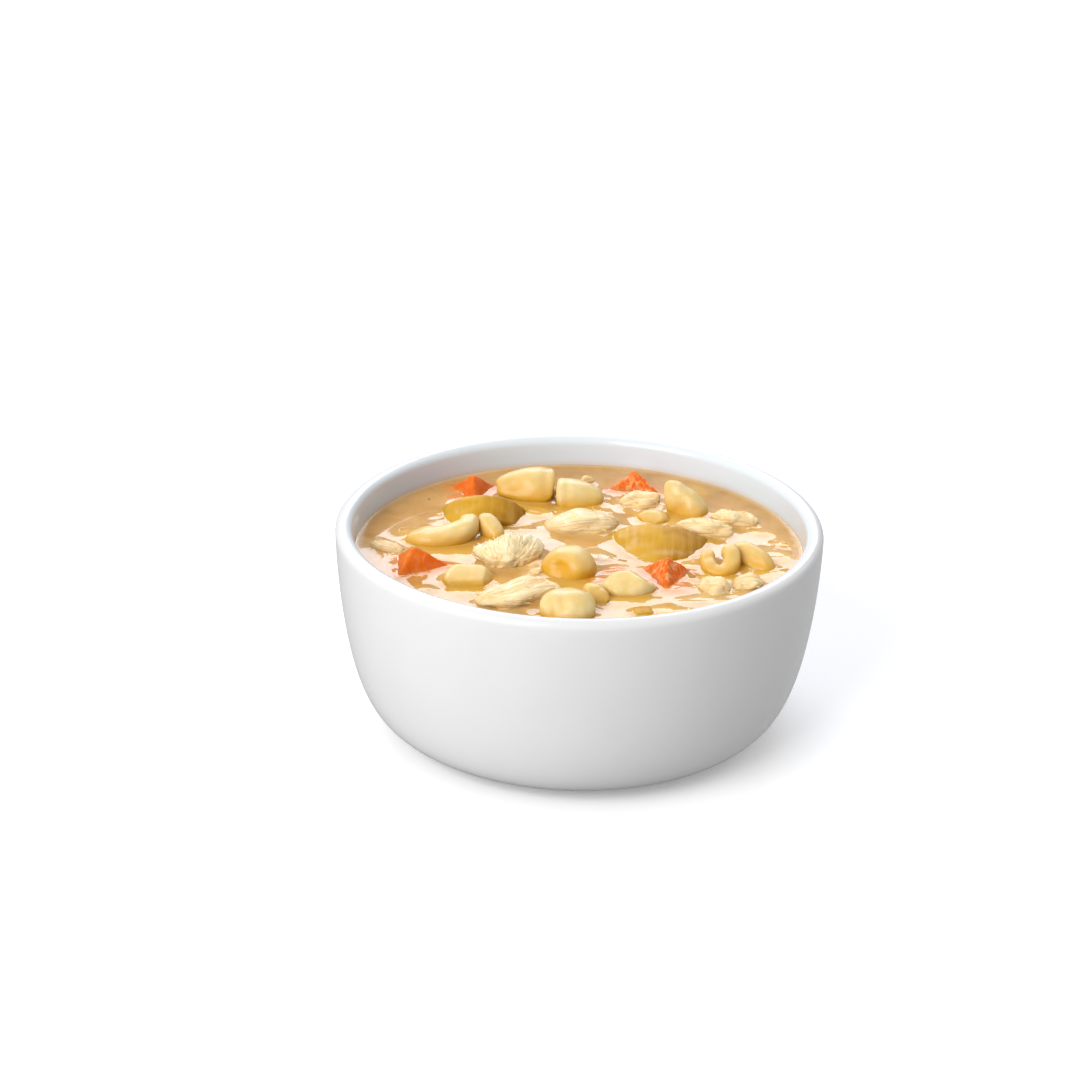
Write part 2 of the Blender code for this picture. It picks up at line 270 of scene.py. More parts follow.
def make_glaze():
    """White stoneware glaze, cool inside, wet and painted with a warm glow above the broth."""
    glaze = Finish("glaze_glossy", {"IOR": 1.5})
    clouds = glaze.noise(18 * MM, detail=2)
    specks = glaze.noise(0.5 * MM, detail=2)
    inside = 1 - glaze.outward().step(-0.6, 0.2)
    white = glaze.mix(BOWL_WHITE, POOLED_WHITE, clouds.step(0.4, 0.75))
    # The band just above the broth: its wet stain and a painted glow of bounced light.
    wet = (1 - glaze.above_broth().step(0.2 * MM, 2.4 * MM)) * inside
    cooled = glaze.mix(white, INSIDE_WHITE, inside)
    glaze.set("Base Color", glaze.mix(cooled, BROTH_WET_AND_GLOW, wet * wet * 0.6))
    glaze.set("Roughness", 0.13 + clouds * 0.08)
    orange_peel = glaze.bump(clouds, 0.05 * MM)
    glaze.set("Normal", glaze.bump(specks, 0.004 * MM, under=orange_peel))
    return glaze.material


keep("white_glaze", make_glaze())

# %% [markdown]
# ## Noodle
#
# Cooked egg pasta is soft and slightly see-through: light enters it and comes out
# yellow. Its tops are pale and matt. All that is close to the broth is soaked, so it
# is a deep gold. The sides and the hollows get gold too, as painted shade, since they
# catch less of the light from above. That change of colour does more for the look
# than any relief. The thin wet film on it is a clear coat.

# %% Noodle
GOLD = (0.74, 0.39, 0.02)
FLOUR_SPECK = (0.78, 0.52, 0.15)


def wet_food(name, softness, spread, depth, coat_roughness, more=None):
    """A cooked piece's finish: light goes in and comes out coloured, under a thin wet coat."""
    plain = {
        "IOR": 1.4,
        "Subsurface Weight": softness,
        "Subsurface Radius": spread,
        "Subsurface Scale": depth,
        "Coat Roughness": coat_roughness,
        "Coat IOR": 1.36,
    }
    return Finish(name, plain | (more or {}))


def make_noodle():
    """Pale pasta, golden where soaked, with painted shade in gold on its sides and hollows."""
    noodle = wet_food("noodle_wet", 0.4, (1.6, 0.9, 0.35), 0.6 * MM, 0.07)
    blots = noodle.noise(3.2 * MM, detail=3)
    grain = noodle.noise(0.55 * MM, detail=3, rough=0.6)
    soaked = (1 - noodle.above_broth() / noodle.attribute("soak")).clamped()
    # Painted shade: sides that face away from the light above, and the hollows, turn gold.
    side = 1 - noodle.upward()
    hollow = noodle.attribute("hollow")
    gold = soaked * 0.95 + side * 0.2 + hollow * 0.3 + (blots - 0.5) * 0.5
    fresh = noodle.mix((0.82, 0.60, 0.23), (0.87, 0.69, 0.35), blots.step(0.42, 0.68))
    speckled = noodle.mix(fresh, FLOUR_SPECK, grain.step(0.56, 0.8) * 0.4)
    noodle.set("Base Color", noodle.mix(speckled, GOLD, gold.step(0.12, 1.05)))
    noodle.set("Roughness", 0.36 + grain * 0.16)
    noodle.set("Coat Weight", 0.15 + blots * 0.3)
    soft = noodle.bump(blots, 0.10 * MM)
    noodle.set("Normal", noodle.bump(grain, 0.03 * MM, under=soft))
    return noodle.material


keep("noodle", make_noodle())

# %% [markdown]
# ## Carrot, celery and chicken
#
# The three share a recipe with the noodle, but each has its own grain. Carrot is
# strongly coloured with pale streaks, which a number on each die makes faint or strong.
# Celery is nearly clear, with strings that run along the stalk. Chicken is a bundle of
# fibres, so its noise is drawn out along the piece's own X axis. Its loose strands get
# a finish that lets no light in, because thin forms that overlap would turn dark.

# %% Carrot
DULL = {"Specular IOR Level": 0.2}
CARROT_STREAK = (0.90, 0.46, 0.20)
CARROT_SOAKED = (0.76, 0.24, 0.05)


def make_carrot():
    """Orange flesh with pale strings, paler where it is soaked."""
    carrot = wet_food("carrot_wet", 0.3, (3.0, 0.6, 0.2), 0.7 * MM, 0.08, DULL)
    streaks = carrot.noise(1.1 * MM, detail=4, stretch=(1, 1, 0.2), warp=0.6)
    blots = carrot.noise(4 * MM, detail=2)
    flesh = carrot.mix((0.78, 0.13, 0.003), (0.82, 0.19, 0.01), blots.step(0.4, 0.7))
    stringy = carrot.attribute("stringy")
    pale = streaks.step(0.44, 0.66) * (0.2 + stringy * 0.75)
    streaked = carrot.mix(flesh, CARROT_STREAK, pale)
    soaked = 1 - carrot.above_broth().step(-0.3 * MM, 1.4 * MM)
    carrot.set("Base Color", carrot.mix(streaked, CARROT_SOAKED, soaked * 0.7))
    carrot.set("Roughness", 0.38 + streaks * 0.2)
    carrot.set("Coat Weight", streaks.step(0.5, 0.75) * 0.3)
    carrot.set("Normal", carrot.bump(streaks, 0.09 * MM))
    return carrot.material


keep("carrot", make_carrot())

# %% Celery
CELERY_PALE = (0.66, 0.36, 0.02)
CELERY_DARK = (0.40, 0.17, 0.001)
CELERY_STRING = (0.74, 0.48, 0.08)


def make_celery():
    """Olive flesh, darker towards one end; pale strings shown only on top, as painted top light."""
    celery = wet_food("celery_wet", 0.35, (2.6, 1.6, 0.3), 0.8 * MM, 0.05, DULL | {"IOR": 1.38})
    strings = celery.noise(1.2 * MM, detail=3, stretch=(1, 0.10, 0.4))
    patches = celery.noise(9 * MM, detail=2, warp=0.5)
    towards_one_end = celery.axis(celery.place(), "X").step(-4 * MM, 9 * MM)
    dark = (patches * 0.8 + towards_one_end * 0.7).step(0.4, 0.95)
    flesh = celery.mix(CELERY_PALE, CELERY_DARK, dark)
    # Painted top light: the pale strings show only where the skin faces up.
    light = strings.step(0.48, 0.72) * celery.upward()
    celery.set("Base Color", celery.mix(flesh, CELERY_STRING, light * 0.3))
    celery.set("Roughness", 0.30 + strings * 0.15)
    celery.set("Coat Weight", patches.step(0.45, 0.7) * (1 - dark) * 0.5)
    celery.set("Normal", celery.bump(strings, 0.05 * MM))
    return celery.material


keep("celery", make_celery())

# %% Chicken
CHICKEN_FIBRE = (0.86, 0.62, 0.30)
CHICKEN_CREASE_SHADE = (0.86, 0.58, 0.22)
CHICKEN_SOAKED = (0.84, 0.52, 0.17)


def make_chicken(name, softness):
    """Pale meat with darker fibres, painted shade in its creases, and golden near the broth."""
    chicken = wet_food(name, softness, (1.8, 1.2, 0.6), 0.9 * MM, 0.12)
    fibres = chicken.noise(0.5 * MM, detail=4, stretch=(0.14, 1, 1), warp=0.3)
    blots = chicken.noise(2.4 * MM, detail=3)
    soaked = 1 - chicken.above_broth().step(-0.2 * MM, 4.8 * MM)
    # Painted shade: the creases between the flakes are darker.
    crease = chicken.attribute("crease")
    meat = chicken.mix((0.93, 0.75, 0.42), (0.96, 0.86, 0.62), blots.step(0.42, 0.66))
    fibred = chicken.mix(meat, CHICKEN_FIBRE, fibres.step(0.56, 0.82) * 0.5)
    crease_shaded = chicken.mix(fibred, CHICKEN_CREASE_SHADE, crease.step(0.5, 0.95) * 0.6)
    chicken.set("Base Color", chicken.mix(crease_shaded, CHICKEN_SOAKED, soaked**1.5 * 0.9))
    chicken.set("Roughness", 0.42 + fibres * 0.2)
    chicken.set("Coat Weight", 0.1 + blots * 0.4)
    chicken.set("Normal", chicken.bump(fibres, 0.10 * MM))
    return chicken.material


keep("chicken", make_chicken("chicken_wet", 0.5))
keep("chicken_strands", make_chicken("chicken_strands_wet", 0.0))

# %% [markdown]
# ## Skins and rings
#
# Every piece of food here is a row of rings joined into one closed skin. A ring is a
# squared oval, and what makes a noodle, a shred or a stalk is only how the rings are
# placed. The same idea made the plain solids; here the rings are many and fine.


# %% Rings and skins
def skin(rings):
    """Joins rings of points into one closed tube, its ends closed by fans."""
    form = bmesh.new()
    rows = [[form.verts.new(point) for point in ring] for ring in rings]
    for row, following in zip(rows, rows[1:]):
        bridge(form, row, following)
    for row in (rows[0], rows[-1]):
        fan(form, row, sum((vert.co for vert in row), Vector()) / len(row))
    return form


def bridge(form, row, following):
    """A band of faces between two rings of points."""
    for i in range(len(row)):
        j = (i + 1) % len(row)
        form.faces.new((row[i], row[j], following[j], following[i]))


def fan(form, row, centre):
    """Closes a ring with triangles round its centre."""
    hub = form.verts.new(centre)
    for i in range(len(row)):
        form.faces.new((row[i], row[(i + 1) % len(row)], hub))


def squared(value, squareness):
    """A cosine or sine bent from a circle's towards a square's."""
    return abs(value) ** (2 / squareness) * (1 if value > 0 else -1)


def section(centre, across, outward, width, depth, squareness=2.6, crown=0.0, slant=0.0, points=40):
    """A squared oval round a centre. Its middle may bow, or one side rise."""
    ring = []
    for i in range(points):
        angle = 2 * pi * (i + 0.5) / points
        aside = squared(cos(angle), squareness)
        up = squared(sin(angle), squareness) * depth / 2 - crown * aside**2 + slant * aside
        ring.append(centre + across * aside * width / 2 + outward * up)
    return ring


def rounding(along, bluntness=8):
    """How much of its full size a piece has at a place along it: less towards both ends."""
    return (1 - abs(2 * along - 1) ** bluntness) ** 0.4


def spread(count, inset=0.004):
    """Places along a piece, from one end to the other, closer together at the ends."""
    return [0.5 - (0.5 - inset) * cos(pi * i / (count - 1)) for i in range(count)]


print("places along a piece:", [round(along, 2) for along in spread(7)])

# %% [markdown]
# ## Uneven skins
#
# A skin made by a formula looks machined. Each of these helpers moves its points a
# little, most of them along their own normals, so that the same form can be lumpy,
# dented or cut flat. What a finish has to know about a place, such as how deep a
# hollow is, goes with the points as an attribute.


# %% Push, dent and plane
def face_outwards(form):
    """Turns all faces of a closed form outwards, so that their normals agree."""
    bmesh.ops.recalc_face_normals(form, faces=form.faces)
    if form.calc_volume(signed=True) < 0:
        bmesh.ops.reverse_faces(form, faces=form.faces)


def push_in_and_out(form, push):
    """Moves each point along its own normal, by what a function gives for that point."""
    face_outwards(form)
    form.normal_update()
    pushes = [push(vert) for vert in form.verts]
    for vert, distance in zip(form.verts, pushes):
        vert.co += vert.normal * distance


def unevenness(form, depth, size, seed, stretch=(1, 1, 1)):
    """Pushes the skin in and out by noise, since nothing cooked is quite regular."""
    shift = Vector((seed * 7.3, seed * 3.1, seed * 5.7))

    def push(vert):
        place = Vector(a * b / size for a, b in zip(vert.co, stretch)) + shift
        return noise.fractal(place, 1.0, 2.0, 3) * depth

    push_in_and_out(form, push)


def dent(form, place, reach, depth):
    """Pushes the skin in near a place, and notes how far as the attribute "hollow", in mm."""
    layers = form.verts.layers.float
    hollow = layers.get("hollow") or layers.new("hollow")

    def push(vert):
        off = [(a - b) / size for a, b, size in zip(vert.co, place, reach)]
        inwards = depth * exp(-sum(gap * gap for gap in off))
        vert[hollow] += inwards / MM
        return -inwards

    push_in_and_out(form, push)


def planed(form, facing, reach, share=0.85):
    """Takes away most of what stands out past a plane, at a reach from the middle."""
    across = Vector(facing).normalized()
    for vert in form.verts:
        over = vert.co.dot(across) - reach
        if over > 0:
            vert.co -= across * over * share


def marked(form, name, value):
    """Gives every point of a form the same number, for its finish to read."""
    layer = form.verts.layers.float.new(name)
    for vert in form.verts:
        vert[layer] = value


cube = bmesh.new()
bmesh.ops.create_cube(cube, size=10 * MM)
planed(cube, (0, 0, 1), 4 * MM)
print("a planed cube's top is at", round(max(vert.co.z for vert in cube.verts) / MM, 2), "mm")
cube.free()

# %% [markdown]
# ## Where pieces stand
#
# A piece is placed by the box of the solid that it stands for: both boxes share their
# middle. The frame is then told that the piece rides on the body, and which solid it
# hides. Loose small things stand for no solid, so they are joined, one piece for each
# kind.


# %% Pieces in their places
def middle(points):
    """The middle of the box round some points."""
    low = Vector(min(axis) for axis in zip(*points))
    high = Vector(max(axis) for axis in zip(*points))
    return (low + high) / 2


def linked(name, data):
    """A new object in the scene, from a mesh, a lamp or a camera."""
    made = bpy.data.objects.new(name, data)
    bpy.context.scene.collection.objects.link(made)
    return made


def object_from(name, form, finish):
    """A new object, shaded smooth, with its faces turned outwards."""
    face_outwards(form)
    mesh = bpy.data.meshes.new(name)
    form.to_mesh(mesh)
    form.free()
    mesh.shade_smooth()
    mesh.materials.append(FINISHES[finish])
    made = linked(name, mesh)
    made["finish"] = finish
    return made


def set_over(made, node, turn=(0, 0, 0)):
    """Turns a piece and puts the middle of its box on the middle of its solid's."""
    turning = Euler([radians(angle) for angle in turn]).to_matrix().to_4x4()
    own = middle([turning @ vert.co for vert in made.data.vertices])
    wanted = middle(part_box(node))
    made.matrix_world = Matrix.Translation(wanted - own) @ turning
    stand_for(made, node)
    return made


def joined(forms):
    """Several skins in one mesh."""
    whole = bmesh.new()
    for form in forms:
        mesh = bpy.data.meshes.new("part")
        face_outwards(form)
        form.to_mesh(mesh)
        form.free()
        whole.from_mesh(mesh)
        bpy.data.meshes.remove(mesh)
    return whole


def stand_for(made, *nodes):
    """The piece rides on the body and hides its solid."""
    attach(made, "root")
    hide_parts(*nodes)


def add_joined(name, forms, finish):
    """Many small skins as one piece that no solid stands for."""
    made = object_from(name, joined(forms), finish)
    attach(made, "root")
    return made


shell_middle = middle(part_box("noodle_shell"))
print("the shell noodle's solid is at", [round(axis / MM, 1) for axis in shell_middle], "mm")

# %% [markdown]
# ## The bowl
#
# The wall is a turned profile: a superellipse that rises almost straight from a
# rounded base to a round lip. A screw modifier could turn it; points written out with
# the plain solid's own formula keep the two walls in one place. The plain solid has 48
# sides, which would show as corners along the rim, so this one has 240.

# %% Wall
RIM_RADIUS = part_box("bowl")[1].x
BOWL_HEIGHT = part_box("bowl")[1].z
LIP_RADIUS = 2.1 * MM
BASE_RADIUS = 28.5 * MM
FLOOR_HEIGHT = 6.0 * MM
FLOOR_RADIUS = 26.0 * MM
WALL_SQUARENESS = (1.57, 6)


def wall_radius(share, base, top):
    """Radius of the rounded wall, at a share of its height from the base to the rim."""
    turn, corner = WALL_SQUARENESS
    return base + (top - base) * (1 - (1 - share) ** turn) ** (1 / corner)


def wall(base, top, low, high, count, first=0.0):
    """(radius, height) points up a wall, set closer together where it turns the corner."""
    shares = [first + (1 - first) * (i / (count - 1)) ** 2.4 for i in range(count)]
    return [(wall_radius(share, base, top), low + (high - low) * share) for share in shares]


def inner_wall(count=44):
    top = RIM_RADIUS - 2 * LIP_RADIUS
    return wall(FLOOR_RADIUS, top, FLOOR_HEIGHT, BOWL_HEIGHT - LIP_RADIUS, count)


def wall_at(height):
    """Inner radius of the bowl at a height."""
    return max(radius for radius, z in inner_wall(200) if z <= height)


print(f"the broth's disc has a radius of {wall_at(LEVEL) / MM:.1f} mm")

# %% Bowl
FOOT_HEIGHT = 1.5 * MM
FOOT_OUTER = 36.5 * MM
FOOT_INNER = 31.5 * MM
FOOT_EDGE = 0.8 * MM
BOWL_SIDES = 240
LIP_STEPS = 12
FOOT_STEPS = 4


def turned(profile, sides):
    """Spins (radius, height) points round the axis into one closed skin."""
    form = bmesh.new()
    rings = []
    for radius, height in profile:
        angles = [2 * pi * side / sides for side in range(sides if radius else 1)]
        rings.append([form.verts.new((radius * cos(a), radius * sin(a), height)) for a in angles])
    for low, high in zip(rings, rings[1:]):
        for side in range(sides):
            after = (side + 1) % sides
            corners = [low[side % len(low)], low[after % len(low)]]
            corners += [high[after % len(high)], high[side % len(high)]]
            form.faces.new(list(dict.fromkeys(corners)))
    return form


def make_bowl():
    """The whole profile, from the recess in the foot over the lip to the floor inside."""
    lip_start = BOWL_HEIGHT - LIP_RADIUS
    outer = wall(BASE_RADIUS, RIM_RADIUS, FOOT_HEIGHT, lip_start, 60, first=0.00005)
    outer = [(r, z) for r, z in outer if r > FOOT_OUTER + FOOT_EDGE / 2]
    angles = [pi * step / LIP_STEPS for step in range(1, LIP_STEPS)]
    middle_of_lip = RIM_RADIUS - LIP_RADIUS
    lip = [(middle_of_lip + LIP_RADIUS * cos(a), lip_start + LIP_RADIUS * sin(a)) for a in angles]
    recess = FOOT_HEIGHT * 0.8
    foot = [(0, recess), (FOOT_INNER - FOOT_EDGE, recess)]
    foot += rounded_step(FOOT_INNER - FOOT_EDGE, FOOT_INNER, recess, 0)
    foot += rounded_step(FOOT_OUTER, FOOT_OUTER - FOOT_EDGE, FOOT_HEIGHT, 0)[::-1]
    form = turned(foot + outer + lip + inner_wall()[::-1] + [(0, FLOOR_HEIGHT)], BOWL_SIDES)
    bowl = object_from("bowl_glazed", form, "white_glaze")
    stand_for(bowl, "bowl")
    return bowl


def rounded_step(start, end, high, low):
    """The eased edge of the foot ring, from its side to its flat."""
    sines = [sin(pi / 2 * step / FOOT_STEPS) for step in range(FOOT_STEPS + 1)]
    return [(start + (end - start) * s, low + (high - low) * (1 - s)) for s in sines]


bowl = make_bowl()
print("bowl faces:", len(bowl.data.polygons))

# %% [markdown]
# ## Noodle forms
#
# A spiral noodle is a ribbon wound round its own axis. What stands out of the broth
# is one lobe at a time. A lobe seen from its side is an arch, seen along the axis
# it is a hook or a ring, and seen flat it is a plump lens. Three forms cover them,
# and a few broad dents give each one the hollows and flats of its own.


# %% Arch, strand and lens
def arch(width, thickness, radius, sweep, crown=0.0, slant=0.0):
    """A ribbon bent round the X axis, its crest at the top."""
    across = Vector((1, 0, 0))
    shape = dict(crown=crown, slant=slant, points=48)
    rings = []
    for along in spread(56):
        angle = radians(sweep) * (along - 0.5)
        outward = Vector((0, sin(angle), cos(angle)))
        centre = outward * (radius - thickness / 2)
        size = rounding(along)
        rings.append(section(centre, across, outward, width * size, thickness * size, **shape))
    return skin(rings)


def strand(path, width, thickness, tip=1.0):
    """An oval strand on a smooth curve through every point of a path, tapering to its tip."""
    knots = [Vector(point) * MM for point in path]
    knots = [2 * knots[0] - knots[1]] + knots + [2 * knots[-1] - knots[-2]]
    spans = len(knots) - 3
    rings = []
    for along in spread(72):
        at = min(along * spans, spans - 0.001)
        first = int(at)
        t = at - first
        a, b, c, d = knots[first : first + 4]
        bow = 2 * a - 5 * b + 4 * c - d
        twist = 3 * b - a - 3 * c + d
        centre = b + (c - a) * t / 2 + bow * t**2 / 2 + twist * t**3 / 2
        ahead = (c - a) / 2 + bow * t + twist * t**2 * 1.5
        across = Vector((0, 0, 1)).cross(ahead).normalized()
        outward = ahead.cross(across).normalized()
        size = rounding(along, bluntness=10) * (1 + (tip - 1) * along**2)
        rings.append(section(centre, across, outward, width * size, thickness * size))
    return skin(rings)


def lens(length, width, height, bluntness=2.0, squareness=2.6):
    """A plump lobe, more or less pointed at its ends."""
    across = Vector((0, 1, 0))
    up = Vector((0, 0, 1))
    rings = []
    for along in spread(52):
        size = (1 - abs(2 * along - 1) ** bluntness) ** 0.7
        centre = Vector((length * (along - 0.5), 0, 0))
        rings.append(section(centre, across, up, width * size, height * size, squareness))
    return skin(rings)


print("a lens has", len(lens(10 * MM, 6 * MM, 5 * MM).faces), "faces")

# %% [markdown]
# ## The noodles
#
# The table gives each noodle its form, how it is turned, how high over the broth it is
# soaked, and its sizes, in mm; where it floats comes from its solid. A dent is a place on
# the form, how far it reaches along each axis, and its depth. A flat is planed off: it
# faces one way, at a distance from the middle. A little noise makes each noodle its own.

# %% Noodle tables
HOOK_PATH = [
    (-7.6, 1.6, -2.8), (-4.2, -0.6, -0.6), (0.0, -1.2, 0.2),
    (4.0, 0.0, 1.2), (6.4, 3.0, 2.4), (6.0, 6.2, 3.4),
]
CONE_PATH = [(1.6, -1.2, -3.4), (0.4, -0.6, 0.6), (-2.4, 0.4, 4.4), (-4.6, 1.2, 7.2)]
RING_PATH = [
    (-2.4, 3.0, 2.4), (-2.9, -0.4, 1.2), (-2.0, -3.6, 0.2), (0.4, -4.7, 0.0),
    (2.6, -3.0, 1.0), (2.9, 0.0, 2.8), (1.7, 2.8, 4.0),
]
NOODLES = {
    "noodle_back_tall": (
        arch, (0, 0, 0), 8,
        dict(width=15.2, thickness=3.4, radius=6.6, sweep=196, crown=0.8, slant=1.4),
    ),
    "noodle_back_low": (
        arch, (0, 0, 0), 4,
        dict(width=12.2, thickness=3.4, radius=6.2, sweep=185, crown=0.5, slant=-1.5),
    ),
    "noodle_shell": (lens, (0, 0, -10), 7, dict(length=13.8, width=11.0, height=11.0, bluntness=2.6)),
    "noodle_front": (
        arch, (0, 0, 0), 2.4,
        dict(width=13.0, thickness=3.4, radius=6.4, sweep=200, crown=1.8),
    ),
    "noodle_hook": (strand, (0, 0, 0), 4.4, dict(path=HOOK_PATH, width=8.2, thickness=6.8, tip=0.52)),
    "noodle_ring": (strand, (0, 0, 0), 7, dict(path=RING_PATH, width=3.8, thickness=3.5, tip=1.15)),
    "noodle_cone": (strand, (0, 0, 0), 4, dict(path=CONE_PATH, width=8.4, thickness=11.0, tip=0.16)),
    "noodle_cone_foot": (lens, (0, 0, -20), 3, dict(length=8.4, width=6.6, height=4.6)),
    "noodle_hook_lobe": (lens, (0, 28, -52), 4.5, dict(length=9.8, width=4.8, height=5.0, bluntness=3)),
    "noodle_ring_lobe": (lens, (0, 20, -42), 6, dict(length=13.4, width=6.4, height=6.4, bluntness=2.4)),
    "noodle_gem": (
        lens, (0, 0, 4), 3.8,
        dict(length=12.6, width=9.0, height=6.6, bluntness=4, squareness=4),
    ),
    "noodle_front_tip": (lens, (0, 20, -50), 4.6, dict(length=8.0, width=5.2, height=5.2, bluntness=3)),
    "noodle_lemon": (lens, (0, 0, 4), 1.0, dict(length=14.0, width=9.0, height=8.4, bluntness=2.2)),
}
DENTS = {
    "noodle_back_tall": [
        ((5.4, -1.5, 5.5), (0.8, 4.0, 6.0), 0.45),
        ((-3.5, -5.0, 3.6), (3.4, 3.0, 2.4), 0.8),
    ],
    "noodle_back_low": [((-3.6, -2.0, 5.0), (0.8, 4.0, 5.0), 0.4)],
    "noodle_front": [
        ((-1.4, -3.0, 5.0), (0.9, 5.0, 4.0), 0.8),
        ((-4.2, -4.6, 3.0), (2.0, 2.4, 2.4), 1.1),
    ],
    "noodle_gem": [((-1.0, -4.4, 1.6), (4.0, 1.2, 1.4), 0.35)],
    "noodle_lemon": [((0.4, -4.0, 2.4), (3.6, 1.6, 1.4), 0.35)],
    "noodle_cone": [((-1.0, -4.0, 2.5), (3.0, 2.0, 3.0), 0.6)],
    "noodle_hook": [((-1.0, -3.0, 3.0), (4.5, 2.0, 1.4), 0.4)],
    "noodle_ring_lobe": [((1.0, -2.6, 2.2), (3.4, 1.6, 1.2), 0.4)],
    "noodle_shell": [
        ((-2.4, -4.2, 2.8), (3.4, 3.6, 3.1), 2.8),
        ((3.4, -3.0, 4.4), (2.6, 2.6, 2.0), 0.4),
    ],
}
FLATS = {
    "noodle_gem": [((0, -0.34, 0.94), 2.35), ((0, -0.94, 0.34), 3.5), ((0.8, -0.4, 0.5), 4.6)],
    "noodle_lemon": [((-0.12, -0.5, 0.86), 3.2), ((0.5, 0.2, 0.8), 3.9)],
    "noodle_cone_foot": [((0, -0.5, 0.86), 1.9)],
    "noodle_front_tip": [((0.3, -0.5, 0.8), 2.1)],
    "noodle_ring_lobe": [((0, -0.7, 0.7), 2.4)],
}
print("with dents:", len(DENTS), "with flats:", len(FLATS))

# %% Noodles
NOT_LENGTHS = {"path", "sweep", "tip", "bluntness", "squareness"}


def in_metres(sizes):
    """The same sizes with lengths in metres; angles and shares keep their numbers."""
    return {word: value if word in NOT_LENGTHS else value * MM for word, value in sizes.items()}


def make_noodle_piece(name, seed):
    """Builds one noodle from the tables and puts it over its solid."""
    build, turn, soak, sizes = NOODLES[name]
    form = build(**in_metres(sizes))
    marked(form, "soak", soak * MM)
    for place, reach, depth in DENTS.get(name, []):
        dent(form, Vector(place) * MM, Vector(reach) * MM, depth * MM)
    for facing, reach in FLATS.get(name, []):
        planed(form, facing, reach * MM)
    unevenness(form, 0.3 * MM, 4.0 * MM, seed)
    made = object_from(name + "_cooked", form, "noodle")
    return set_over(made, name, turn)


noodles = [make_noodle_piece(name, seed) for seed, name in enumerate(NOODLES, 1)]
print("noodles:", len(noodles))

# %% [markdown]
# ## Diced carrot
#
# Each die floats with a corner up. A cube with many small faces is pulled slightly
# round at its edges, and a drawn-out noise gives the cut faces their fibres. In the
# table, a die has its edge in mm, its turn, and how strong its pale strings are.

# %% Carrots
CARROTS = {
    "carrot_back_left": (12.0, -86, 0.0),
    "carrot_front_left": (12.6, 3, 0.0),
    "carrot_back": (12.0, -35, 1.0),
    "carrot_front": (11.4, -94, 0.8),
}
CARROT_TAPER = 0.1
EDGE_SHARPNESS = 14


def die(size, stringy, seed):
    """A cube on its corner, narrowing upwards, with worn edges and cut marks."""
    form = bmesh.new()
    bmesh.ops.create_cube(form, size=1)
    bmesh.ops.subdivide_edges(form, edges=form.edges[:], cuts=28, use_grid_fill=True)
    marked(form, "stringy", stringy)
    for vert in form.verts:
        x, y, z = vert.co * 2
        reach = max(abs(x), abs(y), abs(z))
        powers = sum(abs(side) ** EDGE_SHARPNESS for side in (x, y, z))
        round_reach = powers ** (1 / EDGE_SHARPNESS)
        vert.co = Vector((x, y, z)) * reach / round_reach * size / 2
        shrink = 1 - CARROT_TAPER * (z + 1) / 2
        vert.co.x *= shrink
        vert.co.y *= shrink
    unevenness(form, 0.35 * MM, 3.5 * MM, seed)
    unevenness(form, (0.08 + 0.14 * stringy) * MM, 0.9 * MM, seed + 9, stretch=(1, 1, 0.2))
    quarter = Euler((0, 0, radians(45))).to_matrix()
    tipped = Euler((0, atan(sqrt(2)), 0)).to_matrix()
    facing_front = Euler((0, 0, pi)).to_matrix()
    form.transform((facing_front @ tipped @ quarter).to_4x4())
    return form


for seed, (name, (size, turn, stringy)) in enumerate(CARROTS.items(), 31):
    form = die(size * MM, stringy, seed)
    set_over(object_from(name + "_diced", form, "carrot"), name, (0, 0, turn))
print("carrots:", len(CARROTS))

# %% [markdown]
# ## Sliced celery
#
# A slice across the stalk is a crescent whose round back has ribs, one for each
# string. The strings run from cut face to cut face, so they follow the piece's Y. In
# the table, a slice has its turn, its lengths in mm, and the angles and counts.

# %% Celery slices
def crescent(span, thickness, cut, arc, ribs, front_slant=0.0, back_slant=0.0):
    """A slice of stalk, its round side up. Cosines give it ribs and soft corners."""
    half = radians(arc) / 2
    radius = span / 2 / sin(half)
    around = 96
    rings = []
    for along in spread(30, inset=0.001):
        size = rounding(along, bluntness=12)
        ring = []
        for i in range(around):
            turn = 2 * pi * i / around
            side = squared(cos(turn), 2.4)
            depth = squared(sin(turn), 2.4)
            angle = half * side
            swell = 0.06 * MM * cos(2 * pi * ribs * side) if depth > 0 else 0
            r = radius - thickness / 2 + depth * thickness / 2 * size + swell * size
            x = r * sin(angle) * (0.92 + 0.08 * size)
            slant = front_slant * (1 - along) + back_slant * along
            y = cut * (along - 0.5) + slant * x
            ring.append(Vector((x, y, r * cos(angle) - radius)))
        rings.append(ring)
    return skin(rings)


CELERY = {
    "celery_left": (
        (20, 2, 0),
        dict(span=24.4, thickness=4.4, cut=11.0),
        dict(arc=92, ribs=5, front_slant=0.2),
    ),
    "celery_right": (
        (15, 3, 0),
        dict(span=27.8, thickness=5.4, cut=16.8),
        dict(arc=58, ribs=6, front_slant=0.4, back_slant=-0.1),
    ),
}

for seed, (name, (turn, sizes, plain)) in enumerate(CELERY.items(), 41):
    form = crescent(**{word: value * MM for word, value in sizes.items()}, **plain)
    unevenness(form, 0.3 * MM, 5 * MM, seed)
    set_over(object_from(name + "_sliced", form, "celery"), name, turn)

form = lens(5.4 * MM, 4.0 * MM, 2.6 * MM, bluntness=4, squareness=3.4)
unevenness(form, 0.25 * MM, 2 * MM, 44)
set_over(object_from("celery_front_sliced", form, "celery"), "celery_front", (0, 0, 10))
print("celery:", len(CELERY) + 1)

# %% [markdown]
# ## Shredded chicken
#
# Cooked breast comes apart into bundles of fibres. Each piece is a ridged core, pushed
# in and out by a noise that is drawn out along the fibres. Fine strands are laid on it:
# a strand starts and ends at random, follows the core, and lifts a little at its ends.
# Building the strands as geometry keeps the torn outline. They are joined into one
# piece, and cast no shadow, because so many thin shadows would make the meat look grey.

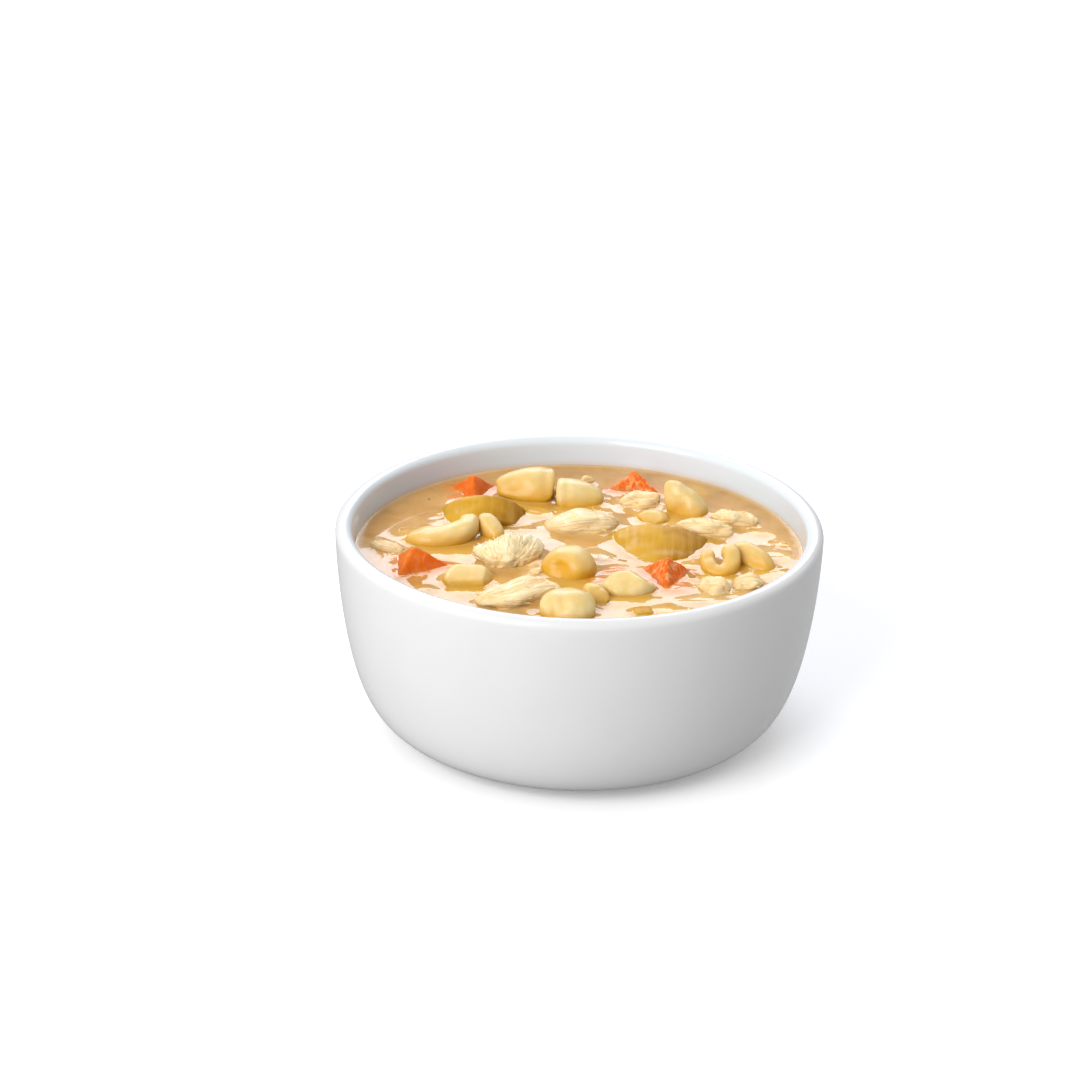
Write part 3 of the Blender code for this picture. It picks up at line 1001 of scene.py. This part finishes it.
# %% One shred
class Shred:
    """The core of a torn lump of meat: ridged along its fibres, and pinched at its ends."""

    def __init__(self, length, width, height, ridges, seed):
        self.sizes = (length, width, height)
        self.ridges = ridges
        self.seed = seed
        self.chance = Random(seed)
        self.phases = [self.chance.uniform(0, 2 * pi) for _ in range(4)]

    def point(self, along, angle, off=0.0):
        """A place on the core, or a little off it."""
        length, width, height = self.sizes
        swell = sin(pi * along) ** 0.5
        lump = 1 + 0.12 * cos(self.ridges * angle + 2 * along + self.phases[1])
        lump += 0.10 * sin(9 * along + 2 * angle + self.phases[2]) * sin(pi * along)
        lump += 0.06 * cos(3 * angle - 6 * along + self.phases[3])
        grain = Vector((along * length / (5 * MM), 3 * angle, self.seed))
        lump += 0.06 * noise.noise(grain) + 0.035 * noise.noise(grain * 3)
        x = length * (along - 0.5)
        y = cos(angle) * (width / 2 * swell * lump + off)
        y += 0.07 * width * sin(5 * along + self.phases[0])
        z = sin(angle) * (height / 2 * swell * lump + off)
        return Vector((x, y, z))

    def core(self):
        rings = []
        for along in spread(64, inset=0.012):
            rings.append([self.point(along, 2 * pi * side / 64) for side in range(64)])
        return skin(rings)

    def fibre(self):
        """One thin strand along the core: it starts and ends at random, and lifts at its ends."""
        chance = self.chance
        length = self.sizes[0]
        thick = chance.random() < 0.12
        reach = chance.uniform(6.0, 12.0) if thick else chance.uniform(3.0, 8.0)
        reach = min(0.9, reach * MM / length)
        start = chance.uniform(0.02, 0.98 - reach)
        angle = chance.uniform(radians(-15), radians(195))
        drift = chance.uniform(-0.35, 0.35)
        width = (chance.uniform(1.0, 1.7) if thick else chance.uniform(0.25, 0.65)) * MM
        lift = 0 if thick else chance.uniform(0.0, 1.0) ** 3 * 1.6 * MM
        rings = []
        for along in spread(14, inset=0.02):
            off = lift * (2 * along - 1) ** 4
            here = self.point(start + reach * along, angle + drift * along, off)
            after = self.point(start + reach * (along + 0.02), angle + drift * (along + 0.02), off)
            ahead = (after - here).normalized()
            outward = Vector((0, cos(angle), sin(angle)))
            across = outward.cross(ahead).normalized()
            size = width * rounding(along, bluntness=3)
            rings.append(section(here, across, outward, size, size * 0.5, squareness=2, points=8))
        return skin(rings)


def flaked(form, depth, size, seed):
    """Bundles of fibres: round flakes with sharp creases between them, drawn out along X."""
    crease = form.verts.layers.float.new("crease")
    shift = Vector((seed * 2.9, seed * 7.7, seed * 4.3))

    def push(vert):
        x, y, z = vert.co / size
        coarse = abs(noise.noise(Vector((0.22 * x, y, z)) + shift))
        fine = abs(noise.noise(Vector((0.5 * x, 2.7 * y, 2.7 * z)) - shift))
        # How far into the creases a point lies, for the chicken finish to paint shade there.
        vert[crease] = 1 - min(1, 3.2 * coarse) * min(1, 0.5 + 2 * fine)
        return (coarse + 0.35 * fine - 0.25) * depth

    push_in_and_out(form, push)


shred = Shred(20 * MM, 10 * MM, 7 * MM, ridges=4, seed=1)
print("a shred's side is at", [round(axis / MM, 1) for axis in shred.point(0.5, 0.0)], "mm")

# %% [markdown]
# ## The chicken pieces
#
# In the table, a piece has its turn, its length, width and height in mm, the number of
# its ridges, a seed, the depth of its flakes in mm, and how many fibres lie on it.

# %% Chicken pieces
CHICKEN = {
    "chicken_middle": (104, (11.8, 15.4, 9.8), 5, 3, 1.2, 200),
    "chicken_smooth": (16, (19.4, 12.0, 7.2), 3, 8, 0.4, 50),
    "chicken_front": (22, (21.6, 9.6, 7.0), 5, 5, 0.5, 70),
    "chicken_back": (4, (10.6, 8.0, 5.2), 4, 6, 1.4, 50),
    "chicken_back_tip": (30, (4.8, 2.8, 3.4), 3, 2, 0.5, 6),
    "chicken_right_back": (-22, (11.8, 6.2, 5.2), 4, 11, 1.2, 36),
    "chicken_right": (-18, (14.6, 6.6, 5.4), 4, 12, 1.2, 44),
    "chicken_front_right": (-8, (8.2, 7.0, 5.6), 4, 14, 1.4, 40),
    "chicken_far_right": (28, (7.6, 6.0, 5.0), 4, 15, 1.4, 36),
    "chicken_far_left": (-35, (9.6, 4.4, 3.4), 4, 17, 0.8, 30),
}


def make_chicken_piece(name):
    """The core over its solid, and the fibres that lie on it, in their places."""
    turn, sizes, ridges, seed, flakiness, count = CHICKEN[name]
    shred = Shred(*(size * MM for size in sizes), ridges, seed)
    core = shred.core()
    flaked(core, flakiness * MM, 2.2 * MM, seed)
    lean = -14 if name == "chicken_back_tip" else 0
    made = set_over(object_from(name + "_shredded", core, "chicken"), name, (0, lean, turn))
    fibres = [shred.fibre() for _ in range(count)]
    for fibre in fibres:
        fibre.transform(made.matrix_world)
    return fibres


fibres = [fibre for name in CHICKEN for fibre in make_chicken_piece(name)]
print("chicken:", len(CHICKEN), "pieces and", len(fibres), "fibres")
strands = add_joined("chicken_strands", fibres, "chicken_strands")
strands.visible_shadow = False

# %% [markdown]
# ## What lies just under the surface
#
# Most of the food is in the broth, not on it. Lobes of noodle, bits of carrot and
# shreds of meat lie within a millimetre or two of the surface, and they show as warm
# soft-edged shapes. There is one joined piece for each kind. In the table, a bit has
# its middle, its length and width, its turn, and how far its top is over the broth.

# %% Sunk bits
BIT_HEIGHT = 2.6 * MM
SUNK_BITS = {
    "noodle": [
        ((-14.5, 25.6), (15.0, 8.0), 0, -0.25),
        ((-11.4, 22.6), (9.4, 7.0), -30, 0.35),
        ((-0.6, 24.6), (12.5, 7.0), 0, -0.25),
        ((-31.5, -4.4), (16.5, 9.5), 0, -0.25),
        ((-41.2, 6.0), (8.0, 8.0), 20, 0.1),
        ((-1.0, -19.6), (12.0, 7.0), 0, -0.3),
        ((-25.4, -27.4), (11.0, 5.6), -8, -0.25),
        ((23.0, 19.6), (11.0, 9.0), 0, -0.1),
        ((27.0, -8.4), (9.0, 8.0), 10, -0.1),
        ((34.6, -16.4), (12.0, 5.0), 0, -0.25),
        ((44.6, -13.8), (11.0, 6.4), 25, -0.2),
        ((48.6, -2.4), (7.4, 8.6), 20, 0.2),
        ((11.6, -30.0), (15.0, 6.6), 0, -0.3),
        ((31.6, 39.6), (3.2, 7.4), 24, -0.1),
        ((46.0, 12.0), (6.0, 3.4), 0, -0.1),
        ((51.0, 5.0), (3.4, 3.6), 0, 0.4),
        ((20.6, -35.6), (8.4, 4.6), 4, 0.1),
    ],
    "chicken": [
        ((5.3, -5.4), (6.8, 3.2), -28, 0.5),
        ((-10.4, -15.6), (4.2, 3.2), 10, 0.9),
        ((-10.8, -10.0), (8.0, 7.0), 60, 0.6),
        ((-16.5, -36.4), (14.0, 5.6), 12, -0.1),
        ((32.0, -28.6), (16.0, 5.4), 8, -0.2),
        ((-42.4, -7.0), (8.0, 3.4), -20, 0.3),
        ((27.0, 16.4), (9.0, 4.0), -12, 0.3),
        ((-36.0, -26.6), (3.6, 2.0), -15, 0.0),
    ],
    "carrot": [
        ((-31.0, 31.0), (8.0, 4.6), -8, -0.2),
        ((4.4, -18.8), (6.6, 3.6), 14, 0.05),
        ((23.0, -22.0), (9.0, 7.0), -20, 0.2),
        ((8.4, -13.0), (6.4, 1.8), 18, 0.25),
        ((9.6, -11.2), (5.0, 1.2), 12, 0.15),
        ((-34.6, 18.6), (1.8, 0.9), 0, 0.2),
    ],
    "celery": [
        ((15.6, -8.4), (11.0, 6.0), -10, -0.2),
        ((27.2, -15.4), (11.5, 2.6), -60, 0.45),
        ((-18.0, 10.6), (12.0, 4.0), 10, -0.25),
    ],
}


def make_sunk(kind, bits):
    """All the bits of one kind, as one piece."""
    forms = []
    for seed, ((x, y), (length, width), turn, top) in enumerate(bits, 61):
        form = lens(length * MM, width * MM, BIT_HEIGHT, bluntness=2.4, squareness=2.2)
        if kind == "chicken":
            flaked(form, 1.2 * MM, 1.6 * MM, seed)
        else:
            unevenness(form, 0.3 * MM, 3 * MM, seed)
        place = Vector((x * MM, y * MM, LEVEL + top * MM - BIT_HEIGHT / 2))
        form.transform(Matrix.Translation(place) @ Matrix.Rotation(radians(turn), 4, "Z"))
        forms.append(form)
    return add_joined("sunk_" + kind, forms, kind)


for kind, bits in SUNK_BITS.items():
    make_sunk(kind, bits)
print("sunk bits:", sum(len(bits) for bits in SUNK_BITS.values()))

# %% [markdown]
# ## Drops of fat and flecks of herb
#
# Fat gathers in small round drops, mostly where the broth is still: near the wall and
# between pieces. A few flecks of parsley and pepper drift with them.

# %% Drops and flecks
DROP_PLACES = [(19.4, -36.0), (22.2, -35.2), (51.0, 5.0), (-9.4, -24.0), (24.0, -33.6)]
DROPS_TOGETHER = 12
FLECK_COUNT = 9
FLECK_REACH = 50 * MM


def speck(x, y, sizes, turn=0.0, lift=0.0, fineness=(20, 12)):
    """A low round speck on the broth, from its half length, half width and half height."""
    form = bmesh.new()
    around, high = fineness
    bmesh.ops.create_uvsphere(form, u_segments=around, v_segments=high, radius=1)
    place = Matrix.Translation((x, y, LEVEL + lift)) @ Matrix.Rotation(turn, 4, "Z")
    form.transform(place @ Matrix.Diagonal((*sizes, 1)))
    return form


def make_drops_and_flecks():
    """Drops in small groups, and flecks anywhere on the broth."""
    chance = Random(7)
    drops = []
    for x, y in DROP_PLACES:
        for _ in range(DROPS_TOGETHER):
            across, back = [chance.gauss(0, 1.3) for _ in range(2)]
            radius = chance.uniform(0.25, 0.9) * MM
            sizes = (radius, radius, radius * 0.35)
            drops.append(speck((x + across) * MM, (y + back) * MM, sizes, lift=0.02 * MM))
    flecks = []
    for _ in range(FLECK_COUNT):
        reach = FLECK_REACH * sqrt(chance.random())
        bearing = chance.uniform(0, 2 * pi)
        length = chance.uniform(0.25, 0.6) * MM
        sizes = (length, length * chance.uniform(0.3, 0.7), 0.08 * MM)
        turn = chance.uniform(0, pi)
        place = (reach * cos(bearing), reach * sin(bearing))
        flecks.append(speck(*place, sizes, turn, lift=0.05 * MM, fineness=(10, 6)))
    add_joined("fat_drops", drops, "fat")
    add_joined("herb_flecks", flecks, "herb")


def make_fat():
    plain = {"IOR": 1.46, "Roughness": 0.05}
    fat = Finish("fat_wet", plain | {"Subsurface Weight": 0.2, "Subsurface Scale": 0.4 * MM})
    fat.set("Base Color", fat.mix((0.80, 0.46, 0.06), (0.70, 0.34, 0.03), fat.noise(1 * MM)))
    return fat.material


def make_herb():
    herb = Finish("herb_wet", {"Roughness": 0.4, "Coat Weight": 0.3})
    herb.set("Base Color", herb.mix((0.10, 0.13, 0.02), (0.20, 0.10, 0.03), herb.noise(9 * MM)))
    return herb.material


keep("fat", make_fat())
keep("herb", make_herb())
make_drops_and_flecks()
print("drops:", len(DROP_PLACES) * DROPS_TOGETHER, "flecks:", FLECK_COUNT)

# %% [markdown]
# ## The broth
#
# Broth climbs a little where it touches food or the wall, which is what draws the
# bright lines round the pieces. So its surface is a fine grid bent into a disc, and
# each of its points is raised by how close the nearest wet edge is. The same pass
# looks straight down for what is sunk below, and keeps its colour as an attribute.
#
# The light behind the bowl mirrors in the broth as a pale film. Swells less than a
# tenth of a millimetre high are enough to bend its edge, so the film's outline is
# shaped by slow noise, a few thin crests, and four swells placed one by one.

# %% Broth surface
BROTH_GRID = 280
MENISCUS = 0.4 * MM
CAPILLARY = 0.9 * MM
SLOW_RIPPLE = 0.014
QUICK_RIPPLE = 0.003
CREST = 0.05
CREST_SHARPNESS = 16
SWELLS = [
    ((-31, -12), 13, 0.12),
    ((27, -34), 12, 0.12),
    ((50, 25), 14, 0.06),
    ((-44, 14), 12, 0.05),
]


def disc_point(i, j, radius):
    """A square grid's point, bent into a disc."""
    u = 2 * i / (BROTH_GRID - 1) - 1
    v = 2 * j / (BROTH_GRID - 1) - 1
    return u * sqrt(1 - v * v / 2) * radius, v * sqrt(1 - u * u / 2) * radius


def ripple(x, y):
    """How far the broth swells at a place, from food that has just moved in it."""
    slow = noise.noise(Vector((x, y, 0)) / (14 * MM))
    quick = noise.noise(Vector((x, y, 9 * MM)) / (5 * MM))
    bent = Vector((x + 3 * MM * quick, y * 1.5 + 4 * MM * slow, 20 * MM))
    crest = max(0, 1 - CREST_SHARPNESS * abs(noise.noise(bent / (12 * MM)))) ** 2
    rise = SLOW_RIPPLE * slow + QUICK_RIPPLE * quick + CREST * crest * max(0, slow + 0.1)
    for (across, back), reach, height in SWELLS:
        off = hypot(x - across * MM, y - back * MM) / (reach * MM)
        rise += height * exp(-off * off)
    return rise * MM


print("a swell is", round(ripple(-31 * MM, -12 * MM) / MM, 3), "mm high")

# %% [markdown]
# ## What shows through
#
# Truly clear broth over so many pieces renders slowly and full of noise, so what lies
# below is painted on the surface. From each of its points, one search finds the nearest
# wet edge and one ray looks down. The colour of what lies below fades with its depth,
# and a fainter halo surrounds what stands out. The alpha of the colour is its strength.

# %% Below and near
SIGHT = 3.0 * MM
HALO = 1.8 * MM
HALO_STRENGTH = 0.7
CARROT_HALO_STRENGTH = 0.3
SUNK_COLOURS = {
    "noodle": (0.78, 0.44, 0.08),
    "carrot": (0.78, 0.27, 0.04),
    "celery": (0.58, 0.31, 0.02),
    "chicken": (0.76, 0.48, 0.18),
}


def food_tree(food):
    """All the food as one tree of faces, and the finish of each face."""
    points = []
    faces = []
    kinds = []
    for piece in food:
        first = len(points)
        points += [piece.matrix_world @ vert.co for vert in piece.data.vertices]
        faces += [[first + corner for corner in face.vertices] for face in piece.data.polygons]
        kinds += [piece["finish"]] * len(piece.data.polygons)
    return BVHTree.FromPolygons(points, faces), kinds


def below_and_near(here):
    """What shows through the broth at a place, as a colour with its strength, and its climb."""
    _, _, near, gap = tree.find_nearest(here)
    over = here + Vector((0, 0, 0.01 * MM))
    _, normal, below, depth = tree.ray_cast(over, Vector((0, 0, -1)))
    inside = below is not None and normal.z < 0
    strength = CARROT_HALO_STRENGTH if kinds[near] == "carrot" else HALO_STRENGTH
    halo = strength * exp(-((gap / HALO) ** 2))
    seen = 0
    if below is not None:
        seen = 1 if inside else exp(-((depth / SIGHT) ** 1.5))
    source = kinds[below if seen > halo else near]
    climb = 1 if inside else exp(-gap / CAPILLARY)
    return (*SUNK_COLOURS[source], max(seen, halo)), MENISCUS * climb


food = [piece for piece in bpy.context.scene.objects if piece.get("finish") in SUNK_COLOURS]
tree, kinds = food_tree(food)
print("food:", len(food), "pieces,", len(kinds), "faces")


# %% Broth mesh
def make_broth():
    """The surface point by point, then the sides and the floor."""
    edge = wall_at(LEVEL) + 0.15 * MM
    form = bmesh.new()
    tint = form.verts.layers.float_color.new("sunk")
    rows = []
    for j in range(BROTH_GRID):
        row = []
        for i in range(BROTH_GRID):
            x, y = disc_point(i, j, edge)
            shown, climb = below_and_near(Vector((x, y, LEVEL)))
            at_wall = MENISCUS * exp(-(edge - hypot(x, y)) / CAPILLARY)
            vert = form.verts.new((x, y, LEVEL + ripple(x, y) + at_wall + climb))
            vert[tint] = shown
            row.append(vert)
        rows.append(row)
    for low, high in zip(rows, rows[1:]):
        for i in range(BROTH_GRID - 1):
            form.faces.new((low[i], low[i + 1], high[i + 1], high[i]))
    return close_below(form, rows)


def close_below(form, rows):
    """Carries the surface's rim down the wall, and closes it on the bowl's floor."""
    last = len(rows) - 1
    rim = rows[0][:last] + [row[last] for row in rows[:last]]
    rim += rows[last][last:0:-1] + [row[0] for row in rows[last:0:-1]]
    lower = [(r, z) for r, z in inner_wall(14)[::-1] if z < LEVEL - 1 * MM]
    above = rim
    for radius, height in lower:
        ring = []
        for vert in rim:
            scale = radius / hypot(vert.co.x, vert.co.y)
            ring.append(form.verts.new((vert.co.x * scale, vert.co.y * scale, height)))
        bridge(form, above, ring)
        above = ring
    fan(form, above, (0, 0, FLOOR_HEIGHT))
    return form


broth_form = make_broth()
print("broth faces:", len(broth_form.faces))

# %% Broth finish
BROTH_BY_WALL = (0.84, 0.62, 0.36)


def make_broth_finish():
    """Cloudy and golden, with a gloss whose IOR is nearer to oil's than to water's."""
    plain = {
        "IOR": 1.45,
        "Specular Tint": (0.72, 0.94, 1.0, 1.0),
        "Subsurface Weight": 0.3,
        "Subsurface Radius": (4.0, 2.4, 0.9),
        "Subsurface Scale": 0.6 * MM,
        "Roughness": 0.04,
    }
    broth = Finish("broth_wet", plain)
    sunk = broth.node("ShaderNodeAttribute", {"attribute_name": "sunk"})
    clouds = broth.noise(9 * MM, detail=4, warp=0.8)
    clear = broth.mix((0.72, 0.40, 0.12), (0.60, 0.30, 0.065), clouds.step(0.4, 0.7))
    filled = broth.mix(clear, sunk.out("Color"), sunk.out("Alpha") * 0.9)
    radius = broth.vector("LENGTH", broth.place((1, 1, 0))).out("Value")
    edge = wall_at(LEVEL)
    # Paler within 1.8 mm of the wall.
    by_wall = radius.step(edge - 1.8 * MM, edge)
    broth.set("Base Color", broth.mix(filled, BROTH_BY_WALL, by_wall * by_wall * 0.8))
    return broth.material


keep("broth", make_broth_finish())
broth = object_from("broth_surface", broth_form, "broth")
stand_for(broth, "broth")
broth.visible_diffuse = False

# %% [markdown]
# ## Table, light and camera
#
# The bowl stands on a white table. One large softbox hangs behind the bowl and shines
# over it, so its image lies on the nearer broth. A second one, from the left and front,
# rounds the bowl. A third, weak and from the right, keeps its dark side from going flat.
#
# The table is two sheets in one place. The camera sees one, which glows a little, as an
# overexposed table does. The other can't be seen; it only throws light up at the bowl.
#
# The camera looks down at 25 degrees through a long lens, so that the rim is a calm
# ellipse, and it is aimed a little to the left of the bowl and above it.

# %% Table
def make_table(name, shade, depth, glow=0.0):
    """A wide flat sheet at or just under the table's height, a little overexposed by its glow."""
    form = bmesh.new()
    bmesh.ops.create_grid(form, x_segments=1, y_segments=1, size=4)
    mesh = bpy.data.meshes.new(name)
    form.to_mesh(mesh)
    form.free()
    plain = {"Roughness": 0.9, "Specular IOR Level": 0.0, "Emission Strength": glow}
    paint = Finish(name + "_paint", plain)
    paint.set("Emission Color", (1, 1, 1, 1))
    grey = (shade * 0.98,) * 3
    paint.set("Base Color", paint.mix((shade,) * 3, grey, paint.noise(40 * MM)))
    mesh.materials.append(paint.material)
    made = linked(name, mesh)
    made.location.z = -depth
    return made


table = make_table("table", 0.97, 0, glow=0.18)
table.visible_diffuse = False
table.visible_glossy = False
table.visible_transmission = False
bounce = make_table("table_bounce", 0.93, 0.2 * MM)
bounce.visible_camera = False
bounce.visible_shadow = False
print("staged:", table.name, "and", bounce.name)

# %% Lights
LAMP_DISTANCE = 1.5


def softbox(name, bearing, elevation, width, height, radiance, tint=(1, 1, 1)):
    """A rectangular light that faces the bowl. Bearing 0 is in front, 90 to the left, 180 behind."""
    lamp = bpy.data.lights.new(name, "AREA")
    lamp.shape = "RECTANGLE"
    lamp.size = width
    lamp.size_y = height
    lamp.energy = radiance * pi * width * height
    lamp.color = tint
    made = linked(name, lamp)
    turn = radians(bearing)
    rise = radians(elevation)
    away = Vector((-sin(turn) * cos(rise), -cos(turn) * cos(rise), sin(rise)))
    made.location = away * LAMP_DISTANCE + Vector((0, 0, BOWL_HEIGHT))
    made.rotation_euler = away.to_track_quat("Z", "Y").to_euler()
    return made


COOL = (0.94, 0.98, 1.13)
softbox("back_softbox", bearing=176, elevation=35, width=1.5, height=0.66, radiance=4.0, tint=COOL)
softbox("key_softbox", bearing=41, elevation=31, width=0.95, height=0.95, radiance=6.7)
softbox("right_softbox", bearing=240, elevation=30, width=0.9, height=0.9, radiance=0.7)

world = bpy.data.worlds.new("room")
bpy.context.scene.world = world
world.use_nodes = True
room = world.node_tree
room.nodes["Background"].inputs["Color"].default_value = (1, 1, 1, 1)
room.nodes["Background"].inputs["Strength"].default_value = 0.5
print("lamps:", len(bpy.data.lights))

# %% Camera
VIEW_DISTANCE = 0.6
VIEW_ELEVATION = radians(25.13)
VIEW_ROLL = radians(1.2)
VIEW_WIDTH = 270.765 * MM
TARGET = Vector((0, 0, BOWL_HEIGHT / 2 + 0.75 * MM))
AIM_LEFT = 9.38 * MM
AIM_UP = 18.3 * MM
SENSOR = 36

camera_data = bpy.data.cameras.new("camera")
camera_data.sensor_width = SENSOR
camera_data.lens = SENSOR * VIEW_DISTANCE / VIEW_WIDTH
camera = linked("camera", camera_data)
towards = Vector((0, -cos(VIEW_ELEVATION), sin(VIEW_ELEVATION)))
level = Matrix.Rotation(pi / 2 - VIEW_ELEVATION, 4, "X")
rolled = level @ Matrix.Rotation(VIEW_ROLL, 4, "Z")
aim = Vector((-AIM_LEFT, AIM_UP, 0))
place = TARGET + towards * VIEW_DISTANCE
look = (TARGET + rolled.to_3x3() @ aim - place).normalized()
swing = (-towards).rotation_difference(look).to_matrix().to_4x4()
camera.matrix_world = Matrix.Translation(place) @ swing @ rolled
bpy.context.scene.camera = camera

scene = bpy.context.scene
scene.view_settings.view_transform = "Standard"
scene.cycles.use_denoising = True
print(f"lens: {camera_data.lens:.1f} mm")

# %% [markdown]
# The dressed model has to stay inside the plain solids' box.
